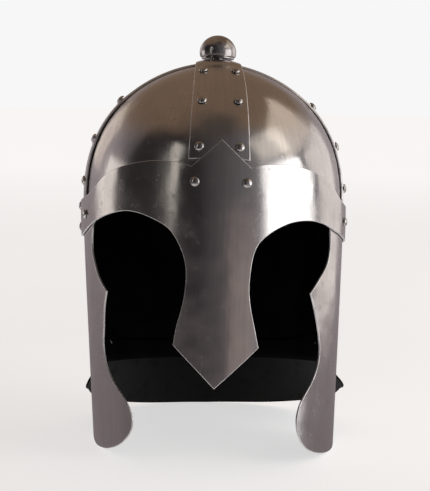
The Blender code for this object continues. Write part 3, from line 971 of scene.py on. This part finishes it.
@dataclass
class Rivets:
    """Domed rivets in pairs down the bands, at the ends of the brow, and in the guard."""

    head_radius: float = 0.0037
    head_height: float = 0.0023
    head_wall: float = 0.12
    undercut: float = 0.97
    shank_radius: float = 0.0016
    # The hammered tail, its flat as shares of its radius and height, and how much they differ
    peened_radius: float = 0.0028
    peened_height: float = 0.0012
    peened_flat: Pair = (0.6, 0.8)
    peened_spread: float = 0.12
    head_steps: int = 7
    sides: int = 24
    crease: float = radians(50)
    # The rivets' solids: corners round each ring, and the rings of the dome as shares of it
    solid_sides: int = 8
    solid_dome: Pair = (0.62, 0.93)
    # Height, and how far each of a pair stands from the middle
    front_pairs: tuple[Pair, ...] = ((0.0978, 0.0120), (0.0725, 0.0131), (0.0380, 0.0145))
    rear_pairs: tuple[Pair, ...] = (
        (0.0978, 0.0120),
        (0.048, 0.0148),
        (-0.010, 0.0165),
        (-0.066, 0.0165),
    )
    side_pairs: tuple[Pair, ...] = ((0.0765, 0.0120), (0.0466, 0.0140), (0.0143, 0.0155))
    nape_pair: Pair = (-0.1195, 0.0165)
    brow_pair: Pair = (0.012, 0.0181)
    # Degrees round, and height
    brow_ends: tuple[Pair, ...] = ((73.0, -0.0123), (97.0, -0.0050), (97.0, -0.0215))
    guard_left: float = 118.5
    guard_right: float = 112.0
    guard_height: float = -0.1125
    band_skew: float = 0.014
    # One hand-set head differs from the next: tilt in radians, and shares of breadth and height
    tilt: float = 0.045
    unevenness: float = 0.05
    dent: float = 0.00007

    def on_strip(self, height: float, offset: float, fore_aft: bool, sign: int) -> Points:
        """A point of the form on a band.

        Args:
            height: Its height.
            offset: How far it stands from the band's middle.
            fore_aft: Whether it is the fore-and-aft band.
            sign: Which end of the band it is on.

        Returns:
            The point.
        """
        half = FORM.half_length if fore_aft else FORM.half_width
        run = sign * half * float(FORM.breadth(np.array(height)))
        point = [offset + self.band_skew * run, run, height] if fore_aft else [run, offset, height]
        return FORM.leaning(np.array([point]))[0]

    def on_wall(self, turn: float, height: float, lean: float) -> Points:
        """A point of the form by the way round it and the height."""
        return FORM.around(np.array([turn]), np.array([height]), lean)[0]

    def sites(self) -> list[RivetSite]:
        """Places every rivet of the helmet.

        Returns:
            Their sites.
        """
        made = []
        on_band, on_plate = ON_PANELS + SHEET, OVER_SHEET + SHEET
        for side, guard_turn in zip(Side, (self.guard_left, self.guard_right)):
            sign, label = side.sign, side.label
            for end, way, pairs in (("front", -1, self.front_pairs), ("rear", 1, self.rear_pairs)):
                for row, (height, half) in enumerate(pairs):
                    point = self.on_strip(height, sign * half, True, way)
                    made.append(RivetSite(f"rivet_{end}_{row}_{label}", point, on_band))
            height, half = self.nape_pair
            point = self.on_strip(height, sign * half, True, 1)
            made.append(RivetSite(f"rivet_nape_{label}", point, on_band, INSIDE_PANELS))
            height, half = self.brow_pair
            point = self.on_wall(sign * half / FORM.half_width, height, 1.0)
            made.append(RivetSite(f"rivet_brow_{label}", point, on_plate))
            for row, (height, half) in enumerate(self.side_pairs):
                for end, shift in (("front", -half), ("rear", half)):
                    point = self.on_strip(height, shift, False, sign)
                    made.append(RivetSite(f"rivet_{label}_{row}_{end}", point, on_band))
            for row, (turn, height) in enumerate(self.brow_ends):
                point = self.on_wall(sign * radians(turn), height, 1.0)
                made.append(RivetSite(f"rivet_brow_end_{label}_{row}", point, on_plate))
            point = self.on_wall(sign * radians(guard_turn), self.guard_height, 0.0)
            made.append(RivetSite(f"rivet_guard_{label}", point, SHEET, INSIDE_PANELS))
        return made

    def stand(self) -> Stand:
        """Finds where the helmet stands, from the middles of the rivets' solids.

        Returns:
            The stand.
        """
        made, packed = [], []
        for site in self.sites():
            tail, low = site.inner - FIT, site.seat + FIT
            rings = [tail, low, low, *(low + rise * self.head_height for rise in self.solid_dome)]
            ends = tail + low + self.head_height
            corners = self.solid_sides * sum(rings) + ends
            middle = corners / (self.solid_sides * len(rings) + 2)
            made.append(site.point + site.out * middle)
            vertices = np.array([vertex.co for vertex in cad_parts[site.name].data.vertices])
            packed.append(np.unique(vertices.round(WELD_PLACES), axis=0).mean(axis=0))
        return Stand.from_rivets(np.array(made), np.array(packed))

    def profile(self, site: RivetSite, chance: Random) -> list[Pair]:
        """A rivet's half section: hammered tail, shank and domed head.

        Args:
            site: Where it is.
            chance: What makes it differ from the others.

        Returns:
            Radii and heights, from the axis to the axis.
        """
        low, tail = site.seat + FIT, site.inner - FIT
        broad = self.head_radius * (1 - self.unevenness * chance.random())
        high = self.head_height * (1 - self.unevenness * chance.random())
        peened = self.peened_radius * (1 + self.peened_spread * chance.uniform(-1, 1))
        flat, flat_drop = self.peened_flat
        wall = self.head_wall
        turns = [pi / 2 * step / self.head_steps for step in range(self.head_steps)]
        dome = [(broad * cos(turn), low + high * (wall + (1 - wall) * sin(turn))) for turn in turns]
        return [
            (0, site.inner - self.peened_height),
            (flat * peened, site.inner - flat_drop * self.peened_height),
            (peened, tail),
            (self.shank_radius, tail),
            (self.shank_radius, low),
            (self.undercut * broad, low),
            *dome,
            (0, low + high),
        ]

    def build(self, stand: Stand, material: Material) -> None:
        """Sets every rivet.

        Args:
            stand: Where the helmet stands.
            material: Their finish.
        """
        for site in self.sites():
            chance = Random(site.name)
            shape = turned(self.profile(site, chance), self.sides)
            for vertex in shape.verts:
                if vertex.co.z > site.seat + FIT + self.head_height / 2:
                    vertex.co.z -= self.dent * chance.random()
            seat = Matrix.Translation((0, 0, site.seat))
            lean = Matrix.Rotation(self.tilt * chance.uniform(-1, 1), 4, "X")
            lean = lean @ Matrix.Rotation(self.tilt * chance.uniform(-1, 1), 4, "Y")
            placing = facing(Vector(site.point), Vector(site.out)) @ seat @ lean @ seat.inverted()
            bmesh.ops.transform(shape, matrix=placing, verts=shape.verts)
            piece = add_object(f"set_{site.name}", shape, [material])
            piece.data.set_sharp_from_angle(angle=self.crease)
            stand.set_down(piece, site.name)


class Wiring:
    """Adds nodes to a shader tree and joins them."""

    def __init__(self, tree: Tree) -> None:
        """Keeps the tree that the nodes go into."""
        self.tree = tree

    def feed(self, node: Node, inputs: dict) -> Node:
        """Sets and joins a node's inputs.

        Args:
            node: The node.
            inputs: Numbers, colours or sockets, by the input's name or place.

        Returns:
            The node.
        """
        for key, value in inputs.items():
            if isinstance(value, Socket):
                self.tree.links.new(value, node.inputs[key])
            elif isinstance(value, tuple):
                node.inputs[key].default_value = (*value, 1.0)
            else:
                node.inputs[key].default_value = value
        return node

    def add(self, kind: str, inputs: dict | None = None, **settings: object) -> Node:
        """Adds one node.

        Args:
            kind: Its type, as Blender names it.
            inputs: What it is fed.
            **settings: Its own properties.

        Returns:
            The node.
        """
        node = self.tree.nodes.new(kind)
        for key, value in settings.items():
            setattr(node, key, value)
        return self.feed(node, inputs or {})

    def math(self, operation: str, *values: Socket | float) -> Socket:
        """The result of a sum of values."""
        return self.add("ShaderNodeMath", dict(enumerate(values)), operation=operation).outputs[0]

    def weighed(self, first: Socket, second: Socket, share: float) -> Socket:
        """The sum of two values, the first by its share and the second by what is left."""
        part = self.math("MULTIPLY", first, share)
        return self.math("ADD", part, self.math("MULTIPLY", second, 1 - share))

    def ranged(self, value: Socket, span: Span, to: Span = FULL) -> Socket:
        """A value moved from one range to another, and kept in it."""
        ends = {"From Min": span[0], "From Max": span[1], "To Min": to[0], "To Max": to[1]}
        return self.add("ShaderNodeMapRange", {"Value": value, **ends}).outputs["Result"]

    def noise(
        self, vector: Socket, scale: Socket | float, detail: float = 3.0, rough: float = 0.55
    ) -> Socket:
        """Noise from 0 to 1 at a scale."""
        inputs = {"Vector": vector, "Scale": scale, "Detail": detail, "Roughness": rough}
        return self.add("ShaderNodeTexNoise", inputs).outputs["Fac"]

    def mixed(self, share: Socket, low: Colour | Socket, high: Colour | Socket) -> Socket:
        """A colour between two by a share."""
        inputs = {"Factor": share, MIX_FIRST: low, MIX_SECOND: high}
        return self.add("ShaderNodeMix", inputs, data_type="RGBA").outputs[MIX_RESULT]

    def bumped(self, height: Socket, depth: float, **more: Socket | float) -> Socket:
        """A normal turned by a height."""
        inputs = {"Strength": 1.0, "Distance": depth, "Height": height, **more}
        return self.add("ShaderNodeBump", inputs).outputs[0]

    def group(self, tree: Tree, inputs: dict) -> Sockets:
        """The outputs of a node group placed with its values."""
        return self.add("ShaderNodeGroup", inputs, node_tree=tree).outputs


class Effect(Wiring):
    """A shared effect: a node group with named inputs and outputs."""

    def __init__(self, name: str, inputs: dict[str, float], outputs: tuple[str, ...]) -> None:
        """Makes the group's sockets.

        Args:
            name: The group's name.
            inputs: The first values of its inputs beside Vector, by name.
            outputs: The names of its values.
        """
        super().__init__(bpy.data.node_groups.new(name, "ShaderNodeTree"))
        sockets = self.tree.interface
        sockets.new_socket("Vector", in_out="INPUT", socket_type="NodeSocketVector")
        for key, value in inputs.items():
            made = sockets.new_socket(key, in_out="INPUT", socket_type="NodeSocketFloat")
            made.default_value = value
        for key in outputs:
            sockets.new_socket(key, in_out="OUTPUT", socket_type="NodeSocketFloat")
        self.given = self.add("NodeGroupInput").outputs

    def give(self, **values: Socket) -> Tree:
        """Joins the group's outputs, and returns its tree."""
        self.add("NodeGroupOutput", values)
        return self.tree


@dataclass(frozen=True)
class Brushing:
    """Fine scratches along V: a mask of streaks, and a height."""

    broad_scale: float = 0.42
    broad_share: float = 0.6
    fine_scale: float = 1.9
    fine_roughness: float = 0.7
    detail: float = 2.0
    streaks: Span = (0.36, 0.64)

    def group(self) -> Tree:
        """Builds the node group.

        Returns:
            Its tree.
        """
        effect = Effect("brushing", {"Lines": 900.0, "Length": 30.0}, ("Streaks", "Height"))
        vector, lines, length = (effect.given[key] for key in ("Vector", "Lines", "Length"))
        along = effect.math("DIVIDE", lines, length)
        stretch = effect.add("ShaderNodeCombineXYZ", {"X": lines, "Y": along, "Z": along})
        sides = {0: vector, 1: stretch.outputs[0]}
        places = effect.add("ShaderNodeVectorMath", sides, operation="MULTIPLY").outputs[0]
        broad = effect.noise(places, self.broad_scale, self.detail)
        fine = effect.noise(places, self.fine_scale, self.detail, self.fine_roughness)
        height = effect.weighed(broad, fine, self.broad_share)
        return effect.give(Streaks=effect.ranged(height, self.streaks), Height=height)


@dataclass(frozen=True)
class Handling:
    """What hands leave on steel: broad clouds in the polish, and small smudges."""

    clouds: Span = (0.32, 0.68)
    smudges: Span = (0.56, 0.72)
    detail: float = 4.0
    roughness: float = 0.5

    def group(self) -> Tree:
        """Builds the node group.

        Returns:
            Its tree.
        """
        sizes = {"Cloud Size": 0.03, "Smudge Size": 0.007}
        effect = Effect("handling", sizes, ("Clouds", "Smudges"))
        masks = []
        for size, span in zip(sizes, (self.clouds, self.smudges)):
            scale = effect.math("DIVIDE", 1.0, effect.given[size])
            noise = effect.noise(effect.given["Vector"], scale, self.detail, self.roughness)
            masks.append(effect.ranged(noise, span))
        return effect.give(Clouds=masks[0], Smudges=masks[1])


@dataclass(frozen=True)
class RimWear:
    """Where a sheet is rubbed bright beside its rim, with a painted highlight lightening the steel
    along the rim too, broken up by noise.
    """

    scale: float = 260.0
    gaps: Span = (0.3, 0.65)
    left_in_gaps: float = 0.2

    def group(self) -> Tree:
        """Builds the node group.

        Returns:
            Its tree.
        """
        # Its output lightens the steel near the rim: partly rubbed wear, partly a painted highlight
        effect = Effect("rim_wear", {"From Rim": 0.0, "Reach": 0.003}, ("Wear",))
        far = effect.math("DIVIDE", effect.given["From Rim"], effect.given["Reach"])
        near = effect.math("MAXIMUM", effect.math("SUBTRACT", 1.0, far), 0.0)
        noise = effect.noise(effect.given["Vector"], self.scale)
        broken = effect.ranged(noise, self.gaps, (self.left_in_gaps, 1.0))
        return effect.give(Wear=effect.math("MULTIPLY", near, broken))


@dataclass
class Effects:
    """The shared effects, built once."""

    brushing: Tree = field(default_factory=lambda: Brushing().group())
    handling: Tree = field(default_factory=lambda: Handling().group())
    rim_wear: Tree = field(default_factory=lambda: RimWear().group())


class Finish(Wiring):
    """A material in the making, with its tree and its own shader."""

    def __init__(self, name: str) -> None:
        """Makes the material, and the place on the piece that its patterns read.

        Args:
            name: The material's name.
        """
        self.material = bpy.data.materials.new(name)
        self.material.use_nodes = True
        super().__init__(self.material.node_tree)
        self.place = self.add("ShaderNodeTexCoord").outputs["Object"]

    def handled(self, effects: Effects, cloud_size: float, smudge_size: float) -> Sockets:
        """The marks of handling, at two sizes."""
        inputs = {"Vector": self.place, "Cloud Size": cloud_size, "Smudge Size": smudge_size}
        return self.group(effects.handling, inputs)

    def shaded(self, inputs: dict) -> Material:
        """Feeds the shader, and returns the material."""
        self.feed(self.tree.nodes["Principled BSDF"], inputs)
        return self.material


@dataclass(frozen=True)
class PolishedSheet:
    """Hand-polished sheet steel with upright brushing."""

    name: str = "polished_sheet"
    dull: Colour = (0.50, 0.475, 0.46)
    bright: Colour = (0.62, 0.595, 0.58)
    stain: Colour = (0.30, 0.26, 0.24)
    # Lighter steel beside the rims: partly rubbed wear, partly a painted highlight along the edges
    worn: Colour = (0.72, 0.70, 0.68)
    brushed_share: float = 0.5
    stain_share: float = 0.16
    worn_share: float = 0.5
    smooth: float = 0.15
    rough: float = 0.27
    smudge_roughness: float = 0.1
    cloud_size: float = 0.024
    smudge_size: float = 0.006
    wear_reach: float = 0.0028
    brush_lines: float = 900.0
    brush_length: float = 26.0
    brush_depth: float = 0.00003
    hammer_depth: float = 0.00045
    hammer_scale: float = 42.0
    hammer_detail: float = 1.0

    def material(self, effects: Effects) -> Material:
        """Builds the material.

        Args:
            effects: The shared effects.

        Returns:
            The material.
        """
        finish = Finish(self.name)
        flat = finish.add("ShaderNodeUVMap", uv_map="pattern").outputs["UV"]
        from_rim = finish.add("ShaderNodeAttribute", attribute_name="from_rim").outputs["Fac"]
        brushing = {"Vector": flat, "Lines": self.brush_lines, "Length": self.brush_length}
        wear_and_sheen_inputs = {"Vector": finish.place, "From Rim": from_rim, "Reach": self.wear_reach}
        brushed = finish.group(effects.brushing, brushing)
        rubbed_and_sheen = finish.group(effects.rim_wear, wear_and_sheen_inputs)["Wear"]
        handled = finish.handled(effects, self.cloud_size, self.smudge_size)
        tone = finish.weighed(brushed["Streaks"], handled["Clouds"], self.brushed_share)
        stained = finish.math("MULTIPLY", handled["Smudges"], self.stain_share)
        colour = finish.mixed(stained, finish.mixed(tone, self.dull, self.bright), self.stain)
        # The lighter band beside the rims mixes rubbed wear with a painted highlight
        worn = finish.math("MULTIPLY", rubbed_and_sheen, self.worn_share)
        rough = finish.ranged(handled["Clouds"], FULL, (self.rough, self.smooth))
        smudged = finish.math("MULTIPLY", handled["Smudges"], self.smudge_roughness)
        hammering = finish.noise(finish.place, self.hammer_scale, self.hammer_detail)
        hammered = finish.bumped(hammering, self.hammer_depth)
        return finish.shaded({
            "Base Color": finish.mixed(worn, colour, self.worn),
            "Roughness": finish.math("ADD", rough, smudged),
            "Metallic": 1.0,
            "Normal": finish.bumped(brushed["Height"], self.brush_depth, Normal=hammered),
        })


@dataclass(frozen=True)
class BlackPaint:
    """Black paint brushed over the inside, a little dusty."""

    name: str = "black_paint"
    colour: Colour = (0.0014, 0.0013, 0.0013)
    dusty: Colour = (0.0042, 0.0037, 0.0035)
    smooth: float = 0.5
    rough: float = 0.68
    gloss: float = 0.05
    cloud_size: float = 0.03
    smudge_size: float = 0.01
    grain_depth: float = 0.0002
    grain_strength: float = 0.5
    grain_scale: float = 700.0

    def material(self, effects: Effects) -> Material:
        """Builds the material.

        Args:
            effects: The shared effects.

        Returns:
            The material.
        """
        finish = Finish(self.name)
        handled = finish.handled(effects, self.cloud_size, self.smudge_size)
        grain = finish.noise(finish.place, self.grain_scale)
        return finish.shaded({
            "Base Color": finish.mixed(handled["Clouds"], self.colour, self.dusty),
            "Roughness": finish.ranged(handled["Smudges"], FULL, (self.smooth, self.rough)),
            "Specular IOR Level": self.gloss,
            "Normal": finish.bumped(grain, self.grain_depth, Strength=self.grain_strength),
        })


@dataclass(frozen=True)
class WorkedSteel:
    """Solid steel that was filed or turned: rims, rivets and the finial."""

    name: str
    dull: Colour
    bright: Colour
    smooth: float
    rough: float
    cloud_size: float
    smudge_size: float = 0.0025
    smudge_share: float = 0.5
    dent_depth: float = 0.0002
    dent_scale: float = 300.0
    dent_detail: float = 2.0

    def material(self, effects: Effects) -> Material:
        """Builds the material.

        Args:
            effects: The shared effects.

        Returns:
            The material.
        """
        finish = Finish(self.name)
        handled = finish.handled(effects, self.cloud_size, self.smudge_size)
        smudged = finish.math("MULTIPLY", handled["Smudges"], self.smudge_share)
        tone = finish.math("SUBTRACT", handled["Clouds"], smudged)
        dents = finish.noise(finish.place, self.dent_scale, self.dent_detail)
        return finish.shaded({
            "Base Color": finish.mixed(tone, self.dull, self.bright),
            "Roughness": finish.ranged(handled["Clouds"], FULL, (self.rough, self.smooth)),
            "Metallic": 1.0,
            "Normal": finish.bumped(dents, self.dent_depth),
        })


# Dull and bright colour, smooth and rough roughness, and the size of the clouds
FILED_RIM = WorkedSteel("filed_rim", (0.66, 0.64, 0.64), (0.88, 0.86, 0.86), 0.42, 0.58, 0.008)
FINIAL_STEEL = WorkedSteel(
    "finial_steel", (0.34, 0.32, 0.315), (0.6, 0.575, 0.565), 0.13, 0.26, 0.01
)
RIVET_STEEL = WorkedSteel("rivet_steel", (0.34, 0.32, 0.31), (0.66, 0.64, 0.62), 0.12, 0.26, 0.004)


@dataclass(frozen=True)
class SoftBox:
    """A rectangular studio light, placed by its bearing from the helmet in degrees."""

    name: str
    azimuth: float
    elevation: float
    distance: float
    size: Pair
    power: float
    colour: Colour = (1.0, 1.0, 1.0)

    def build(self, middle: Vector, facing_camera: float) -> None:
        """Places the light.

        Args:
            middle: What it looks at.
            facing_camera: The camera's own bearing, from which the azimuth counts.
        """
        data = bpy.data.lights.new(self.name, "AREA")
        data.shape = "RECTANGLE"
        data.size, data.size_y = self.size
        data.energy = self.power
        data.color = self.colour
        turn, rise = radians(self.azimuth) + facing_camera, radians(self.elevation)
        away = Vector((sin(turn) * cos(rise), -cos(turn) * cos(rise), sin(rise)))
        light = bpy.data.objects.new(self.name, data)
        light.location = middle + away * self.distance
        light.rotation_mode = "QUATERNION"
        light.rotation_quaternion = away.to_track_quat("Z", "Y")
        light.visible_camera = False
        bpy.context.scene.collection.objects.link(light)


@dataclass(frozen=True)
class Room:
    """What the steel mirrors round the lights: a dim room, pale where the camera looks."""

    name: str = "room"
    left: Colour = (0.028, 0.025, 0.027)
    right: Colour = (0.215, 0.2, 0.21)
    left_to_right: Span = (-0.35, 0.7)
    # Back, low and ground: the axis, where along it each starts and is full, and its colour
    reaches: tuple[tuple[int, Span, Colour], ...] = (
        (1, (0.1, 0.6), (0.385, 0.342, 0.358)),
        (2, (-0.02, -0.22), (0.235, 0.2, 0.212)),
        (2, (-0.3, -0.55), (0.85, 0.82, 0.82)),
    )
    # The warm ceiling comes lower towards the back
    ceiling: Colour = (0.225, 0.155, 0.108)
    ceiling_slope: float = 0.5
    ceiling_starts: Span = (0.62, 0.82)
    # A dark arch in it, ahead of the crest
    arch: Colour = (0.085, 0.07, 0.062)
    arch_ahead: Span = (-0.07, -0.17)
    arch_up: Span = (0.75, 0.88)
    arch_across: Span = (0.32, 0.2)
    pale: Colour = (0.93, 0.93, 0.93)

    def build(self) -> None:
        """Makes the world and sets it."""
        world = bpy.data.worlds.new(self.name)
        world.use_nodes = True
        wiring = Wiring(world.node_tree)
        way = wiring.add("ShaderNodeTexCoord").outputs["Generated"]
        axes = wiring.add("ShaderNodeSeparateXYZ", {0: way}).outputs
        x, y, z = axes
        level = wiring.mixed(wiring.ranged(x, self.left_to_right), self.left, self.right)
        for axis, span, colour in self.reaches:
            level = wiring.mixed(wiring.ranged(axes[axis], span), level, colour)
        overhead = wiring.math("ADD", z, wiring.math("MULTIPLY", y, self.ceiling_slope))
        level = wiring.mixed(wiring.ranged(overhead, self.ceiling_starts), level, self.ceiling)
        ahead, up = wiring.ranged(y, self.arch_ahead), wiring.ranged(z, self.arch_up)
        middle = wiring.ranged(wiring.math("ABSOLUTE", x), self.arch_across)
        arch = wiring.math("MULTIPLY", wiring.math("MULTIPLY", ahead, up), middle)
        seen = wiring.add("ShaderNodeLightPath").outputs["Is Camera Ray"]
        shown = wiring.mixed(seen, wiring.mixed(arch, level, self.arch), self.pale)
        wiring.feed(world.node_tree.nodes["Background"], {"Color": shown})
        bpy.context.scene.world = world


@dataclass
class Studio:
    """The floor, the lights and the camera."""

    camera_distance: float = 1.5
    camera_bearing: float = radians(2.6)
    camera_drop: float = 0.034
    camera_right: float = 0.00144
    camera_sensor: float = 36.0
    picture_height: float = 0.3928
    floor_radius: float = 5.0
    floor_sides: int = 96
    floor_colour: Colour = (0.6, 0.6, 0.6)
    floor_roughness: float = 0.8
    mottle: float = 0.98
    mottle_scale: float = 9.0
    # The floor glows, more at the second distance from the helmet than at the first
    glow: Span = (0.64, 0.82)
    glow_distances: Span = (0.5, 2.5)
    # Azimuth, elevation, distance, size, power and colour of each light
    boxes: tuple[SoftBox, ...] = (
        SoftBox("right_box", 72.5, 6.5, 1.2, (0.93, 0.84), 5.5),
        SoftBox("right_top", 70.0, 41.0, 1.2, (0.75, 0.42), 0.68, (1.0, 0.93, 0.82)),
        SoftBox("right_upper", 107.0, 41.0, 1.25, (1.1, 0.62), 1.25, (1.0, 0.9, 0.77)),
        SoftBox("right_back", 124.0, 7.0, 1.2, (0.85, 0.75), 1.4, (1.0, 0.955, 0.9)),
        SoftBox("right_low", 25.0, -4.0, 0.9, (0.42, 0.3), 0.065, (1.0, 0.78, 0.66)),
        SoftBox("left_strip", -46.5, 23.0, 1.4, (0.25, 1.05), 0.66, (1.0, 0.95, 0.87)),
        SoftBox("left_box", -108.0, 4.0, 1.2, (0.52, 0.45), 0.72, (1.0, 0.95, 0.88)),
        SoftBox("left_arc", -142.0, 15.0, 1.2, (0.42, 0.45), 0.34, (1.0, 0.87, 0.72)),
    )

    def floor(self) -> None:
        """Makes the pale floor, which the steel doesn't mirror."""
        shape = bmesh.new()
        disc = {"segments": self.floor_sides, "radius": self.floor_radius}
        bmesh.ops.create_circle(shape, cap_ends=True, **disc)
        finish = Finish("pale_floor")
        noise = finish.noise(finish.place, self.mottle_scale)
        darker = tuple(self.mottle * part for part in self.floor_colour)
        away = finish.add("ShaderNodeVectorMath", {0: finish.place}, operation="LENGTH")
        material = finish.shaded({
            "Base Color": finish.mixed(noise, darker, self.floor_colour),
            "Roughness": self.floor_roughness,
            "Emission Color": finish.ranged(away.outputs["Value"], self.glow_distances, self.glow),
            "Emission Strength": 1.0,
        })
        made = add_object("pale_floor", shape, [material])
        made.visible_glossy = False

    def camera(self, stand: Stand) -> None:
        """Sets the camera level with the helmet's own axes, as in the photograph.

        Args:
            stand: Where the helmet stands.
        """
        turn = self.camera_bearing
        right, ahead = Vector((cos(turn), -sin(turn), 0)), Vector((sin(turn), cos(turn), 0))
        place = right * self.camera_right - ahead * self.camera_distance
        place.z -= self.camera_drop
        axes = Matrix((right, Vector((0, 0, 1)), -ahead)).transposed().to_4x4()
        data = bpy.data.cameras.new("camera")
        data.sensor_width = self.camera_sensor
        data.lens = data.sensor_width * self.camera_distance / self.picture_height
        camera = bpy.data.objects.new("camera", data)
        camera.matrix_world = stand.placing @ Matrix.Translation(place) @ axes
        bpy.context.scene.collection.objects.link(camera)
        bpy.context.scene.camera = camera

    def build(self, stand: Stand) -> None:
        """Builds the studio round the standing helmet.

        Args:
            stand: Where the helmet stands.
        """
        self.floor()
        self.camera(stand)
        middle = Vector((0, 0, (CAD_BOX[0].z + CAD_BOX[1].z) / 2))
        for box in self.boxes:
            box.build(middle, -self.camera_bearing)
        Room().build()
        bpy.context.scene.view_settings.view_transform = "Standard"
        LOG.info("studio: %d lights", len(self.boxes))


def main() -> None:
    """Builds the helmet and the studio."""
    logging.basicConfig(level=logging.INFO, format="%(name)s: %(message)s")
    effects = Effects()
    surfaces = (PolishedSheet(), BlackPaint(), FILED_RIM)
    sheet_finishes = [finish.material(effects) for finish in surfaces]
    rivets = Rivets()
    stand = rivets.stand()
    for part in (CrownPanels(), Bands(), FacePlate(), CheekPlates(), NeckGuard()):
        part.build(stand, sheet_finishes)
    Finial().build(stand, FINIAL_STEEL.material(effects))
    rivets.build(stand, RIVET_STEEL.material(effects))
    Studio().build(stand)


if __name__ == "__main__":
    main()
